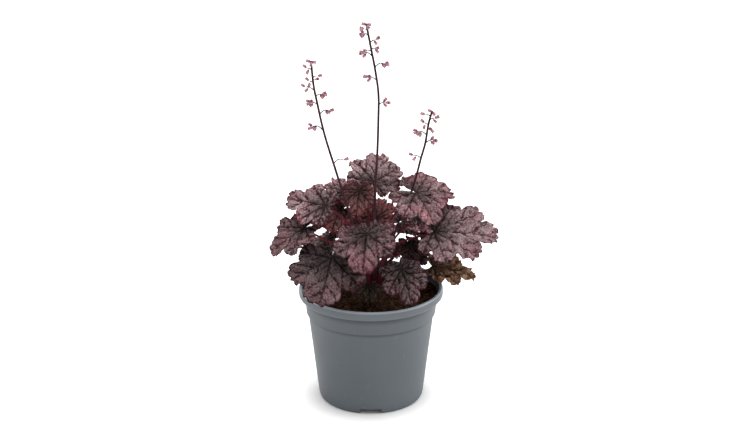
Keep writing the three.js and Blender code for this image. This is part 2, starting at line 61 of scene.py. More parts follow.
GAP = 0.3  # clearance between pieces
POT = Values(rim=70, height=114, wall=1.4, lip_height=9.5, lip_width=3.6, band_top=64.4, band_bottom=62.9,
             band_height=17, body_top=61.2, foot=51.2, corner_in=1.6, corner_rise=3.2, floor=6, pad=15,
             notch_width=21, notch_height=5.4, notches=4, drain_radius=3.5, drain_circle=36)
LIP_FOOT = POT.height - POT.lip_height
BAND_FOOT = LIP_FOOT - POT.band_height
FLOOR_TOP = POT.floor + POT.wall
SOIL_TOP = 105.5
CROWN = Values(radius=19, top=111, bottom=94, hole_depth=8)
SPOTS = Values(count=30, spacing=2.85, turn=137.5)  # where stalks and stems stand in the crown
STALK = Values(radius=1.25, tip=1.0, straight=3)
STEM = Values(radius=1.2, tip=0.6)
TWIG = Values(rise=0.42, fan=80, jitter=30)

# Half of a leaf's fan, from its middle lobe round to its stalk: each lobe's bearing and the angle of the
# notch after it, then how far the lobe and that notch reach, as shares of the leaf's size.
HALF_FAN = [(0, 23, 1, 0.73), (45, 68, 0.93, 0.67), (92, 117, 0.8, 0.55), (140, 166, 0.6, 0.12)]
PLEAT = 0.07
RUFFLE = 0.05

# Hub, heading, pitch, roll, size, spread, taper, curl and cup of each leaf, then its kind and tone: how lit
# or shaded it is against the rest, as painted light and shade, and how pink it is. Kind and tone are looks
# alone.
OUTER_LEAVES = [
    ((3, 20, 212), 170, 40, 18, 40.5, 0.95, 0.91, 0.44, 0.16, "mauve", 1.4, 0.3),
    ((43, 6, 206), 72, -11, 16, 44, 0.97, 1.02, 0.41, 0.17, "mauve", 1.08, 0.95),
    ((59, -20, 176), 82, 2, 22, 61.5, 0.75, 0.93, 0.07, 0.33, "mauve", 1.05, 0.5),
    ((-42, -22, 202), -111, 6, -42, 41, 0.95, 0.8, 0.21, 0.26, "mauve", 1.55, 0.35),
    ((-62, -25, 181), -79, -24, -23, 41.4, 0.98, 0.83, 0.75, -0.2, "mauve", 0.97, 0.95),
    ((-36, -50, 161), -12, -26, 1, 56.8, 1.06, 0.84, 0.28, -0.2, "mauve", 0.49, 0.5),
    ((-4, -52, 185), -7, -21, 9, 41, 1.05, 0.93, 0.52, -0.31, "mauve", 0.7, 0.9),
    ((28, -60, 153), 24, -35, 4, 34, 1.02, 0.9, 0.48, 0.18, "mauve", 0.48, 0.7),
    ((58, -30, 145), 84, -4, 16, 42, 0.75, 0.82, 0.28, 0.11, "bronze", 2.0, 0.0),
    ((-2, -36, 127), 5, -22, -1, 20, 0.88, 0.95, 0.5, 0.17, "bronze", 0.3, 0.0),
]
SMALL = (1, 0.9, 0.4, 0.2)  # spread, taper, curl and cup of each inner leaf
# Each inner leaf ends likewise with its kind, its painted light and shade, and its pinkness; so does BACK's
# look.
INNER_LEAVES = [
    ((-27, 15, 203), -165, 34, 0, 25.1, "mauve", 1.2, 0.6),
    ((-11, 7, 208), -12, -46, 0, 26, "umber", 1.05, 0.3),
    ((-30, 6, 188), -69, -17, -22, 31, "umber", 1.3, 0.8),
    ((43, 1, 182), 64, -24, 0, 23, "mauve", 2.7, 0.6),
    ((37, -1, 157), 46, -30, 0, 27, "umber", 0.33, 0.5),
    ((54, 15, 160), 85, -4, 0, 25, "bronze", 0.6, 0.0),
    ((4, 24, 175), 171, 28, 0, 30.1, "umber", 2.4, 0.8),
]
MIDDLE = {2: 0.72, 7: 1.13}  # leaves whose middle lobe alone is shorter or longer
BENDS = {3: dict(lift=0.62, rise=0.3)}  # leaves whose stalk rises and arrives in its own way
ROOTS = {12: (-9, -2)}  # leaves whose stalk wishes to stand elsewhere than on the leaf's own side
BACK = Values(count=9, start=110, end=250, tiers=(140, 172, 158), reach=(54, 40), pitch=(-28, 12), size=36.5,
              shape=(0.95, 0.9, 0.4, 0.2), look=("mauve", 1.6, 0.3), seed=29)

# Each stem's way up, then its twigs: distance below the tip, heading, reach, bells and their fan.
STEMS = [
    ([(-19, -10, 185), (-32, -12, 231), (-43, -14, 270), (-49, -15, 299), (-52, -15, 315),
      (-54, -15, 338)],
     [(1, 0, 1.5, 3, 230), (8.5, -80, 4, 2), (15.5, 80, 4, 1), (18, 60, 2, 1), (20, -70, 3, 2),
      (27.5, -95, 8, 2), (33, 75, 6, 4), (41, -75, 5.5, 4), (50.5, 95, 8.5, 4), (67, -85, 10, 4),
      (100, 80, 9, 1)]),
    ([(4, -6, 206), (6, -8, 248), (7, -9, 281), (7, -10, 307), (4, -10, 329), (0, -10, 350), (-4, -10, 371)],
     [(1, 20, 1.5, 3, 230), (6, -70, 2, 1), (11, -85, 4, 3), (17.5, 85, 5.5, 2), (24, 70, 3, 2),
      (26, -60, 3.5, 1), (31, -95, 8.5, 3), (41, 80, 9, 3), (53, -80, 8, 4), (76, 90, 6, 4)]),
    ([(28.5, 10.4, 180), (38.6, 8, 206), (43.6, 7.2, 224), (47, 6, 239), (51, 4, 255), (54, 3, 275),
      (57, 2, 287)],
     [(1, 0, 1.5, 2, 230), (5.5, -80, 4, 1), (9.5, 85, 4.5, 3), (14, -75, 3, 2), (18, 60, 2.5, 2),
      (24, -85, 8, 4), (32.5, 90, 7, 4), (48, -90, 7, 2)]),
]

# ---------------- values of the looks alone

BOX_MARGIN = 0.02  # how far inside the solids' box the leaves and bells stay
TEETH = 0.19  # depth of a scallop as a share of its lobe
TOOTH = 0.41  # width of a scallop as a share of half a lobe; the solids have fewer and wider ones
SINUS = 5  # degrees by which each basal lobe closes the notch at the hub further than the solid's does
THICKNESS = (0.5, 0.34)  # of a blade at its hub and at its margin
MAIN_VEIN = [0.7, 0.42, 0.18]  # its half width at the hub, halfway and at the tip
SIDE_VEINS = Values(starts=(0.24, 0.38, 0.52, 0.66, 0.8), stagger=0.06, step=0.045, steps=9, lean=(50, 26))
RELIEF = Values(full_size=40, puff=1.2, sunk=0.65, vein=1.3, wave_length=9.0, frill=0.55, frill_share=0.16,
                frill_length=7.0)
LAYER = 37.0  # from one leaf to the next in the materials' noise, so that no two are alike
STEM_RADII = (1.05 * STEM.radius, 1.7 * STEM.tip)  # a little more than the solids' plain rods have
TWIG_RADII = (0.6, 0.42)
BELL = Values(length=4.5, sizes=(0.93, 1.08), width=1.08, lobing=0.12, lobes=5, lobed_from=3.4, stamens=4,
              stalk=1.1)
BELL_OUTSIDE = [(0.0, 0.0), (0.34, 0.0), (0.5, 0.5), (1.05, 1.1), (1.34, 1.9), (1.3, 2.9), (1.14, 3.5),
                (1.3, 4.0), (1.62, 4.5)]
BELL_INSIDE = [(1.5, 4.45), (1.1, 3.9), (0.95, 3.3), (0.7, 2.2), (0.0, 2.0)]
CRUMBS = Values(count=2600, sizes=(0.5, 1.5), lump=(1, 0.85, 0.7), flake=(2.4, 0.7, 0.5), flake_each=6,
                bark_each=5)
POT_CREASE = 32  # degrees from which an edge of the pot is shaded sharp


# ---------------- helpers

def lerp(a, b, t):
    return a + (b - a) * t


def unit(v):
    return v / np.maximum(np.linalg.norm(v, axis=-1, keepdims=True), 1e-9)


def headed(heading):
    """The level direction of a heading: 0 is -Y, 90 is +X."""
    turn = math.radians(heading)
    return np.array([math.sin(turn), -math.cos(turn), 0.0])


def held_in(points):
    """Points moved to within the solids' box, which a few margins would pass by a fraction of a mm."""
    low, high = (np.array(corner) / MM for corner in cad_box)
    return np.clip(points, low + BOX_MARGIN, high - BOX_MARGIN)


def draws_from(seed):
    """Repeatable draws between 0 and 1, the same ones as in the solids."""
    word = 0xFFFFFFFF
    state = (seed * 2654435761) & word

    def draw():
        nonlocal state
        state = (state + 0x6D2B79F5) & word
        t = ((state ^ (state >> 15)) * (1 | state)) & word
        t = ((t + (((t ^ (t >> 7)) * (61 | t)) & word)) & word) ^ t
        return ((t ^ (t >> 14)) & word) / 4294967296

    return draw


def mesh_of(name, points, faces):
    """A mesh in metres from points in mm."""
    mesh = bpy.data.meshes.new(name)
    mesh.from_pydata((points * MM).tolist(), [], faces)
    return mesh


def placed(name, data):
    made = bpy.data.objects.new(name, data)
    bpy.context.scene.collection.objects.link(made)
    return made


def waves(points, seed, length, octaves=3):
    """Smooth repeatable noise, about -1 to 1, from sums of sines in turned directions."""
    draw = np.random.default_rng(seed)
    total = np.zeros(len(points))
    for octave in range(octaves):
        for _ in range(5):
            way = unit(draw.normal(size=points.shape[1])) * 2 * math.pi / length * 1.9**octave
            total += np.sin(points @ way + draw.uniform(0, 6.3)) * 0.55**octave / 2.2
    return total


class Form:
    """A mesh in the making: points, faces, each face's material number, and named values for some points."""

    def __init__(self):
        self.points, self.faces, self.slots, self.values = [], [], [], {}
        self.count = 0

    def add(self, points, faces, slot=0, **values):
        points = np.asarray(points, float)
        self.points.append(points)
        self.faces.extend([tuple(int(i) + self.count for i in face) for face in faces])
        self.slots.extend([slot] * len(faces))
        for name, column in values.items():
            self.values.setdefault(name, []).append((self.count, np.asarray(column)))
        self.count += len(points)

    def piece(self, name, materials, node):
        """Makes the mesh and its object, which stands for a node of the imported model."""
        mesh = mesh_of(name, np.concatenate(self.points), self.faces)
        mesh.polygons.foreach_set("material_index", self.slots)
        for key, columns in self.values.items():
            shape = columns[0][1].shape[1:]
            data = np.zeros((self.count, *shape), np.float32)  # nought for a point that was given none
            for start, column in columns:
                data[start : start + len(column)] = column
            made = mesh.attributes.new(key, "FLOAT_VECTOR" if shape else "FLOAT", "POINT")
            made.data.foreach_set("vector" if shape else "value", data.ravel())
        for material in materials:
            mesh.materials.append(material)
        mesh.shade_smooth()
        made = placed(name, mesh)
        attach(made, "root")
        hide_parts(node)
        return made


def ring_quads(low, sides):
    """Faces between a ring of points that starts at number `low` and the ring after it."""
    return [(low + k, low + (k + 1) % sides, low + sides + (k + 1) % sides, low + sides + k)
            for k in range(sides)]


def tube(centres, radii, sides):
    """Points and faces of a rod through a row of points, closed at both ends."""
    centres, radii = np.asarray(centres, float), np.broadcast_to(radii, len(centres))
    last = len(centres) - 1
    side = np.array([1.0, 0, 0])
    turns = np.arange(sides) / sides * 2 * math.pi
    points = []
    for i, centre in enumerate(centres):
        ahead = unit(centres[min(i + 1, last)] - centres[max(i - 1, 0)])
        if abs(side @ ahead) > 0.9:
            side = np.array([0, 1.0, 0])
        side = unit(side - ahead * (side @ ahead))
        other = np.cross(ahead, side)
        points.extend(centre + radii[i] * (math.cos(a) * side + math.sin(a) * other) for a in turns)
    faces = [quad for row in range(last) for quad in ring_quads(row * sides, sides)]
    faces += [tuple(reversed(range(sides))), tuple(range(last * sides, (last + 1) * sides))]
    return points, faces


def lathe(profile, sides, shape=None):
    """Points and faces turned about Z from (radius, height) pairs that start and end on the axis."""
    turns = [k / sides * 2 * math.pi for k in range(sides)]
    points = [(0, 0, profile[0][1])]
    for radius, z in profile[1:-1]:
        points += [(radius * math.cos(turn), radius * math.sin(turn), z) for turn in turns]
    points.append((0, 0, profile[-1][1]))
    rows, tip = len(profile) - 2, len(points) - 1
    faces = [(0, 1 + (k + 1) % sides, 1 + k) for k in range(sides)]
    for row in range(rows - 1):
        faces += ring_quads(1 + row * sides, sides)
    low = 1 + (rows - 1) * sides
    faces += [(low + k, low + (k + 1) % sides, tip) for k in range(sides)]
    points = np.array(points, float)
    return (shape(points) if shape else points), faces


def rounded(profile, reach, steps=4):
    """A profile with each corner turned in an arc that starts `reach` before it."""
    made = [profile[0]]
    for before, corner, after in zip(profile, profile[1:], profile[2:]):
        a, b, c = (np.array(p, float) for p in (before, corner, after))
        start = b + unit(a - b) * min(reach, 0.45 * np.linalg.norm(a - b))
        end = b + unit(c - b) * min(reach, 0.45 * np.linalg.norm(c - b))
        for t in np.linspace(0, 1, steps):
            made.append(tuple(start * (1 - t) ** 2 + 2 * b * t * (1 - t) + end * t * t))
    return [*made, profile[-1]]


class Shader:
    """Builds one material, a call for each node. Every call returns that node's output."""

    def __init__(self, name):
        self.material = bpy.data.materials.new(name)
        self.material.use_nodes = True
        self.tree = self.material.node_tree
        self.tree.nodes.clear()

    def node(self, kind, out, sockets, **settings):
        made = self.tree.nodes.new("ShaderNode" + kind)
        for key, value in settings.items():
            setattr(made, key, value)
        for key, value in sockets.items():
            if isinstance(value, bpy.types.NodeSocket):
                self.tree.links.new(value, made.inputs[key])
            else:
                made.inputs[key].default_value = value
        return made.outputs[out]

    def value(self, name):
        """A value that the mesh holds for each point."""
        return self.node("Attribute", "Fac", {}, attribute_name=name)

    def place(self, name=None):
        """A place that the mesh holds for each point, or else the point itself in metres."""
        if name:
            return self.node("Attribute", "Vector", {}, attribute_name=name)
        return self.node("TexCoord", "Object", {})

    def part(self, axis, vector):
        return self.node("SeparateXYZ", axis, {"Vector": vector})

    def scaled(self, at, factors):
        return self.node("Mapping", "Vector", {"Vector": at, "Scale": factors})

    def maths(self, operation, first, *others, clamp=False):
        for other in others:
            sockets = {0: first, 1: other}
            first = self.node("Math", "Value", sockets, operation=operation, use_clamp=clamp)
        return first

    def plus(self, *values):
        return self.maths("ADD", *values)

    def times(self, *values):
        return self.maths("MULTIPLY", *values)

    def most(self, *values):
        return self.maths("MAXIMUM", *values)

    def noise(self, at, scale, detail=2.0, rough=0.5, out="Fac"):
        sockets = {"Vector": at, "Scale": scale, "Detail": detail, "Roughness": rough}
        return self.node("TexNoise", out, sockets)

    def cells(self, at, scale, feature="DISTANCE_TO_EDGE"):
        return self.node("TexVoronoi", "Distance", {"Vector": at, "Scale": scale}, feature=feature)

    def spread(self, value, low, high, to_low=0.0, to_high=1.0):
        """A value eased from one range to another: `low` to `to_low`, and `high` to `to_high`."""
        sockets = {"Value": value, "From Min": low, "From Max": high, "To Min": to_low, "To Max": to_high}
        return self.node("MapRange", "Result", sockets, interpolation_type="SMOOTHSTEP")

    def between(self, share, a, b):
        return self.node("Mix", 0, {0: share, 2: a, 3: b})

    def mix(self, share, a, b, blend="MIX"):
        """A colour between two others, each a tuple or another node's output."""
        a, b = (x if isinstance(x, bpy.types.NodeSocket) else (*x, 1.0) for x in (a, b))
        return self.node("Mix", 2, {0: share, 6: a, 7: b}, data_type="RGBA", blend_type=blend)

    def bump(self, height, distance, strength=1.0):
        return self.node("Bump", "Normal", {"Height": height, "Distance": distance, "Strength": strength})

    def done(self, **sockets):
        named = {key.replace("_", " "): value for key, value in sockets.items()}
        surface = self.node("BsdfPrincipled", "BSDF", named)
        end = self.tree.nodes.new("ShaderNodeOutputMaterial")
        self.tree.links.new(surface, end.inputs["Surface"])
        return self.material


# ---------------- materials

def blade_material(name, pale, deep, core, pink, vein, edge, wine, rough):
    """The upper face: a silvery veil over a deeper ground, dark at the hub, the veins and the margin, with
    painted light and shade over it.

    Places and distances are in mm. `tone` holds how lit or shaded the leaf is, which is painted light and
    shade, how pink it is, and the way out from its hub as a share of its size.
    """
    s = Shader(name)
    at, polar = s.place("leaf_place"), s.place("leaf_polar")
    light, pinkness, outward = (s.part(axis, s.place("tone")) for axis in "XYZ")
    blotch = s.noise(at, 0.12, 3, 0.6)
    fine = s.noise(at, 0.8, 3, 0.7)
    wander = s.scaled(s.noise(at, 0.4, 2, out="Color"), (2.2, 2.2, 2.2))
    quilt = s.cells(s.node("VectorMath", 0, {0: at, 1: wander}), 0.36)

    # The silvery veil, in rays and blotches, gathers on the puffs between the veins.
    rays = s.noise(polar, 1.5, 4, 0.75)
    streaks = s.noise(s.scaled(polar, (3, 2.4, 1)), 1, 2)
    veil = s.plus(s.times(rays, 0.3), s.times(blotch, 0.2), s.times(streaks, 0.25),
                  s.spread(s.value("puff"), 0, 0.8, -0.07, 0.03), s.spread(quilt, 0, 0.3, -0.05, 0.03))
    silver = s.spread(veil, 0.25, 0.38)
    ground = s.mix(silver, deep, pale)

    # Pink towards the lobes' tips, the hub's own colour, then a wine flush in parts of the margin.
    rosy = s.times(s.spread(s.noise(at, 0.07, 2), 0.36, 0.6, 0.1, 1), pinkness,
                   s.spread(outward, 0.2, 0.75, 0.3, 1))
    ground = s.mix(rosy, ground, s.mix(silver, tuple(0.42 * c for c in pink), pink))
    ground = s.mix(s.spread(outward, 0.05, 0.5, 0.6, 0), ground, core)
    flush = s.times(s.spread(s.value("margin"), 1, 6.5, 0.85, 0),
                    s.spread(s.noise(at, 0.11, 2, 0.6), 0.46, 0.62))
    ground = s.mix(flush, ground, wine)

    # The drawn lines: main veins, side veins and the net between them, broken here and there.
    net = s.spread(quilt, 0, 0.1, 0.5, 0)
    main = s.spread(s.value("main_vein"), 0.35, 1.1, 0.95, 0)
    side = s.spread(s.value("side_vein"), 0.35, 1.1, 0.85, 0)
    drawn = s.times(s.most(main, side, net), s.spread(fine, 0.25, 0.6, 0.5, 1))
    colour = s.mix(drawn, ground, vein)
    rim = s.times(s.spread(s.value("margin"), 0.5, 1.6, 1, 0), s.spread(blotch, 0.3, 0.6, 0.8, 1))
    colour = s.mix(rim, colour, edge)

    # Painted light and shade over all of it: each leaf lit or shaded by its light value, darker towards its
    # hub, with tone that varies at random on top. A shaded leaf keeps some of its silver's lightness.
    shade = s.maths("MULTIPLY", light, 1.4, clamp=True)
    lit = s.times(silver, s.maths("SUBTRACT", 1, drawn))
    painted_lighting = s.times(light, s.between(lit, shade, 1), s.spread(outward, 0, 0.85, 0.62, 1.2),
                   s.spread(s.noise(at, 0.05, 1), 0.34, 0.66, 0.76, 1.2),
                   s.spread(s.noise(at, 0.9, 2), 0.3, 0.7, 0.8, 1.2))
    painted_lighting = s.node("CombineColor", 0, {"Red": painted_lighting, "Green": painted_lighting, "Blue": painted_lighting})
    colour = s.mix(1, colour, painted_lighting, "MULTIPLY")
    height = s.plus(s.times(drawn, -1), s.times(fine, 0.7))
    return s.done(Base_Color=colour, Roughness=s.spread(fine, 0.2, 0.8, rough - 0.08, rough + 0.08),
                  Specular_IOR_Level=0.1, Normal=s.bump(height, 0.0012))


def underside_material():
    s = Shader("leaf_underside")
    at = s.place("leaf_place")
    ground = s.mix(s.spread(s.noise(at, 0.15, 3), 0.3, 0.7), (0.05, 0.006, 0.01), (0.115, 0.012, 0.02))
    ribs = s.most(s.spread(s.value("main_vein"), 0.6, 1.8, 1, 0),
                  s.spread(s.value("side_vein"), 0.5, 1.8, 0.6, 0))
    colour = s.mix(ribs, ground, (0.16, 0.03, 0.035))
    return s.done(Base_Color=colour, Roughness=0.5, Normal=s.bump(s.noise(at, 0.6, 3), 0.0005, 0.5))


def stalk_material(name, low, high):
    s = Shader(name)
    streaks = s.noise(s.scaled(s.place(), (900, 900, 60)), 1, 3)
    colour = s.mix(s.spread(streaks, 0.35, 0.65), low, high)
    return s.done(Base_Color=colour, Roughness=0.5, Specular_IOR_Level=0.12,
                  Normal=s.bump(streaks, 0.0003, 0.5))


def bell_material():
    """Pink bells, dark at the stalk and a little browned at the mouth."""
    s = Shader("flower_bell")
    along = s.value("along")
    flecks = s.noise(s.place(), 700, 2)
    body = s.mix(s.spread(flecks, 0.35, 0.65), (0.32, 0.12, 0.17), (0.45, 0.215, 0.27))
    body = s.mix(s.spread(along, 0.05, 0.6, 0.95, 0), body, (0.075, 0.008, 0.022))
    body = s.mix(s.spread(along, 0.72, 0.98, 0, 0.7), body, (0.3, 0.2, 0.19))
    return s.done(Base_Color=body, Roughness=0.55, Normal=s.bump(flecks, 0.0002, 0.4))


def stamen_material():
    s = Shader("stamen")
    grain = s.noise(s.place(), 2500, 2)
    return s.done(Base_Color=s.mix(grain, (0.55, 0.22, 0.06), (0.72, 0.42, 0.14)), Roughness=0.7)


def pot_material():
    """Grey plastic, dusty on top, paler on the lip and at the foot as painted light, with a painted highlight
    on the lip's top edge and painted shade under its ledges.
    """
    s = Shader("pot_plastic")
    at = s.place()
    cloud = s.noise(at, 14, 3, 0.6)
    grain = s.noise(at, 900, 3, 0.6)
    speck = s.noise(s.scaled(at, (1, 1, 0.35)), 240, 2)
    height = s.part("Z", at)
    colour = s.mix(s.spread(cloud, 0.3, 0.7), (0.063, 0.075, 0.085), (0.073, 0.086, 0.097))
    colour = s.mix(s.spread(speck, 0.66, 0.76, 0, 0.1), colour, (0.21, 0.23, 0.24))
    dust = s.times(s.spread(height, 0.098, 0.113), s.spread(cloud, 0.45, 0.7, 0, 0.25))
    colour = s.mix(dust, colour, (0.16, 0.13, 0.11))
    # Painted light: the lip's face and the foot are made paler than the rest of the wall.
    painted_paler = s.most(s.spread(height, 0.1055, 0.1065, 0, 0.25), s.spread(height, 0, 0.045, 0.17, 0))
    colour = s.mix(painted_paler, colour, (0.155, 0.175, 0.195))
    # Painted highlight along the rounded top edge of the lip.
    colour = s.mix(s.spread(height, 0.1115, 0.1132, 0, 0.9), colour, (0.32, 0.36, 0.4))
    # Painted shade: dark bands on the wall under the lip and under the band, where their ledges would shade
    # it.
    for ledge, reach, painted_shade in ((LIP_FOOT, 8, 0.8), (BAND_FOOT, 4.2, 0.65)):
        top = ledge * MM
        under = s.times(s.spread(height, top - reach * MM, top, 0, painted_shade),
                        s.spread(height, top + 0.3 * MM, top + 0.9 * MM, 1, 0))
        colour = s.mix(under, colour, (0.012, 0.013, 0.015))
    return s.done(Base_Color=colour, Roughness=s.spread(cloud, 0.3, 0.7, 0.46, 0.58),
                  Specular_IOR_Level=0.4, Normal=s.bump(grain, 0.00012, 0.35))


def soil_material(name, dark, brown, rust):
    s = Shader(name)
    at = s.place()
    clod = s.noise(at, 160, 4, 0.7)
    crumb = s.cells(at, 520, "F1")
    colour = s.mix(s.spread(clod, 0.35, 0.68), dark, brown)
    colour = s.mix(s.spread(s.noise(at, 420, 2), 0.6, 0.7, 0, 0.8), colour, rust)
    height = s.plus(s.times(crumb, 0.6), clod)
    return s.done(Base_Color=colour, Roughness=0.92, Specular_IOR_Level=0.1,
                  Normal=s.bump(height, 0.0012, 0.9))


# ---------------- leaves

class Leaf:
    """One leaf's surface: the same fan, bends and folds as its solid, with finer teeth and relief.

    A place on it is a lobe `k` from 0 to 6, a share `t` of that lobe's width from -1 to 1, and a reach from
    the hub as a share of the leaf's size.
    """

    def __init__(self, seed, at, heading, pitch, roll, size, spread, taper, curl, cup, kind, light, pink):
        self.seed, self.at, self.size, self.kind = seed, np.array(at, float), size, kind
        self.curl, self.cup, self.light, self.pink = curl, cup, light, pink
        half = [(spread * b, spread * e, r * taper**k, n * taper ** (k + 0.5))
                for k, (b, e, r, n) in enumerate(HALF_FAN)]
        last = len(half) - 1
        bearing, edge, reach, notch = half[last]
        half[last] = (bearing, min(edge + SINUS, 178.5), reach, notch)  # two halves of the fan never meet
        lobes = []
        for k in range(-last, last + 1):
            bearing, edge, reach, notch = half[abs(k)]
            before = half[max(abs(k) - 1, 0)]
            sign = -1 if k < 0 else 1
            outer = (sign * edge, notch)
            inner = ((sign if k else -1) * before[1], before[3])
            ends = (*outer, *inner) if k < 0 else (*inner, *outer)
            lobes.append((sign * bearing, reach * (1 if k else MIDDLE.get(seed, 1)), *ends))
        self.bearing, self.reach, *rest = (np.array(row) for row in zip(*lobes))
        self.from_angle, self.from_notch, self.to_angle, self.to_notch = rest
        draw = draws_from(seed)
        self.sway = np.array([0.5 * (draw() - 0.5) for _ in lobes])
        self.phase = 6.3 * draw()
        p, r = math.radians(pitch), math.radians(roll)
        level = headed(heading)
        self.along = level * math.cos(p) + np.array([0, 0, math.sin(p)])
        upright = -level * math.sin(p) + np.array([0, 0, math.cos(p)])
        across = np.cross(upright, self.along)
        self.up = upright * math.cos(r) - across * math.sin(r)
        self.left = across * math.cos(r) + upright * math.sin(r)

    def angle(self, k, t):
        end = np.where(t < 0, self.from_angle[k], self.to_angle[k])
        return np.radians(lerp(self.bearing[k], end, np.abs(t)))

    def edge(self, k, t):
        """Distance from the hub to the margin, with five rounded scallops a lobe."""
        notch = lerp(self.from_notch[k], self.to_notch[k], (t + 1) / 2)
        full = (1 - np.abs(t) ** 3) ** 0.55
        scallop = np.abs(np.cos(math.pi * t / TOOTH)) ** 0.5
        return notch + (self.reach[k] - notch) * full * (1 - TEETH * (1 + self.sway[k]) * (1 - scallop))

    def place(self, k, t, reach):
        """Where the bent, pleated and ruffled fan has a place of the leaf, in mm."""
        angle = self.angle(k, t)
        c, s = np.cos(angle), np.sin(angle)
        beside = self.sway[(k + np.where(t < 0, 6, 1)) % 7]
        curl = self.curl * c * c * np.where(c > 0, 1, 0.3)
        bend = curl + self.cup * s * s + lerp(self.sway[k], beside, t * t / 2)
        bend = np.where(np.abs(bend) < 1e-5, 1e-5, bend)
        out = np.sin(bend * reach) / bend
        drop = (1 - np.cos(bend * reach)) / bend
        fold = -0.5 * PLEAT * reach * np.cos(math.pi * t)
        wave = RUFFLE * reach**3 * np.sin(3 * angle + self.phase)
        return (self.at + self.size * (out * c)[..., None] * self.along
                + self.size * (out * s)[..., None] * self.left
                + self.size * (fold + wave - drop)[..., None] * self.up)

    def normals(self, k, t, reach):
        step = 0.02
        outward = self.place(k, t, reach + step) - self.place(k, t, np.maximum(reach - step, 0))
        ahead = self.place(k, np.minimum(t + step, 1), reach) - self.place(k, np.maximum(t - step, -1), reach)
        return unit(np.cross(outward, ahead))

    def veins(self):
        """Main and side veins, each a row of points on the flat leaf of size 1 and its half widths in mm."""
        main, side = [], []
        for k in range(7):
            turn = math.radians(self.bearing[k])
            way = np.array([math.cos(turn), math.sin(turn)])
            length = 0.96 * self.edge(k, np.array(0.0))
            main.append(([way * 0, way * 0.5 * length, way * length], MAIN_VEIN))
            for i, share in enumerate(SIDE_VEINS.starts):
                for sign in (-1, 1):
                    start = share + SIDE_VEINS.stagger * sign * (-1) ** i
                    points = [way * start * length]
                    for step in range(SIDE_VEINS.steps):
                        lean = lerp(*SIDE_VEINS.lean, step / (SIDE_VEINS.steps - 1))
                        lean = turn + sign * math.radians(lean)
                        ahead = points[-1] + SIDE_VEINS.step * np.array([math.cos(lean), math.sin(lean)])
                        if not self.holds(k, ahead):
                            break
                        points.append(ahead)
                    if len(points) > 1:
                        side.append((points, np.linspace(0.36 - 0.18 * share, 0.12, len(points))))
        return main, side

    def holds(self, k, point):
        """Whether a flat point lies in lobe `k`, clear of its edges."""
        angle = math.degrees(math.atan2(point[1], point[0]))
        span = (self.from_angle[k] if angle < self.bearing[k] else self.to_angle[k]) - self.bearing[k]
        t = (angle - self.bearing[k]) / span * (-1 if angle < self.bearing[k] else 1)
        return abs(t) < 0.93 and math.hypot(*point) < 0.97 * self.edge(k, np.array(t))

    def distance(self, flat, lines):
        """Distance from flat points to the nearest of some veins, in mm and in its half widths."""
        nearest, scaled = np.full(len(flat), 99.0), np.full(len(flat), 99.0)
        for points, widths in lines:
            for a, b, wide, thin in zip(points, points[1:], widths, widths[1:]):
                along = np.clip(((flat - a) @ (b - a)) / max((b - a) @ (b - a), 1e-9), 0, 1)
                gap = np.linalg.norm(flat - a - along[:, None] * (b - a), axis=1) * self.size
                nearest = np.minimum(nearest, gap)
                scaled = np.minimum(scaled, gap / lerp(wide, thin, along))
        return nearest, scaled

    def grid(self):
        """Rows of places from the hub to the margin: how many each way, then their lobe, share and reach."""
        step = TOOTH / (8 if self.size > 33 else 6)
        half_t = np.arange(0, 0.975, step)
        lobe_t = np.array([-1, *-half_t[:0:-1], *half_t])
        rows = 8 + round(self.size / 2.8)
        k = np.append(np.repeat(np.arange(7), len(lobe_t)), 6)
        t = np.append(np.tile(lobe_t, 7), 1.0)
        share = np.linspace(0, 1, rows + 1)[1:, None] ** 0.85
        reach = (share * self.edge(k, t)[None, :]).ravel()
        return rows, len(k), np.tile(k, rows), np.tile(t, rows), reach

    def relief(self, flat, reach, margin, gap):
        """How puffed each point is between its veins, and its height over the plain fan in mm."""
        scale = min(1.0, self.size / RELIEF.full_size)
        puff = 1 - np.exp(-((gap / (RELIEF.vein * scale)) ** 2))
        height = scale * (RELIEF.puff * puff - RELIEF.sunk) * np.clip(margin / 2, 0, 1)
        height *= np.clip(reach * 6, 0, 1)
        height += scale * waves(flat * self.size, self.seed, RELIEF.wave_length) * np.clip(reach * 3, 0, 1)
        frill = RELIEF.frill * scale * np.clip(1 - margin / (RELIEF.frill_share * self.size), 0, 1) ** 1.5
        return puff, height + frill * waves(flat * self.size, 50 + self.seed, RELIEF.frill_length, 1)

    def blade(self, form):
        """Adds both faces and the rim that joins them. The hub is the last point of each face."""
        rows, columns, k, t, reach = self.grid()
        angle = self.angle(k, t)
        flat = np.stack([reach * np.cos(angle), reach * np.sin(angle)], axis=1)
        normal = self.normals(k, t, reach)
        main, side = self.veins()
        main_gap, main_scaled = self.distance(flat, main)
        side_gap, side_scaled = self.distance(flat, side)
        margin = (self.edge(k, t) - reach) * self.size
        puff, height = self.relief(flat, reach, margin, np.minimum(main_gap * 0.8, side_gap))
        centre = self.place(k, t, reach) + height[:, None] * normal
        thick = 0.5 * lerp(*THICKNESS, np.clip(reach, 0, 1))[:, None]
        layer = np.full(len(flat), LAYER * self.seed)
        tone = np.array([(self.light, self.pink, out) for out in reach])
        values = dict(leaf_place=np.column_stack([flat * self.size, layer]), tone=tone, puff=puff,
                      leaf_polar=np.column_stack([12 * angle, 0.08 * reach * self.size, layer]),
                      main_vein=np.minimum(main_scaled, 8), side_vein=np.minimum(side_scaled, 8),
                      margin=np.minimum(margin, 12))
        hub = dict(leaf_place=[[0, 0, layer[0]]], tone=[[self.light, self.pink, 0.0]], puff=[0.0],
                   leaf_polar=[[0, 0, layer[0]]], main_vein=[0.0], side_vein=[8.0], margin=[12.0])
        values = {key: np.concatenate([values[key], hub[key]]) for key in values}
        centre = np.concatenate([centre, [self.at]])
        normal = np.concatenate([normal, [self.up]])
        thick = np.concatenate([thick, [[0.5 * THICKNESS[0]]]])

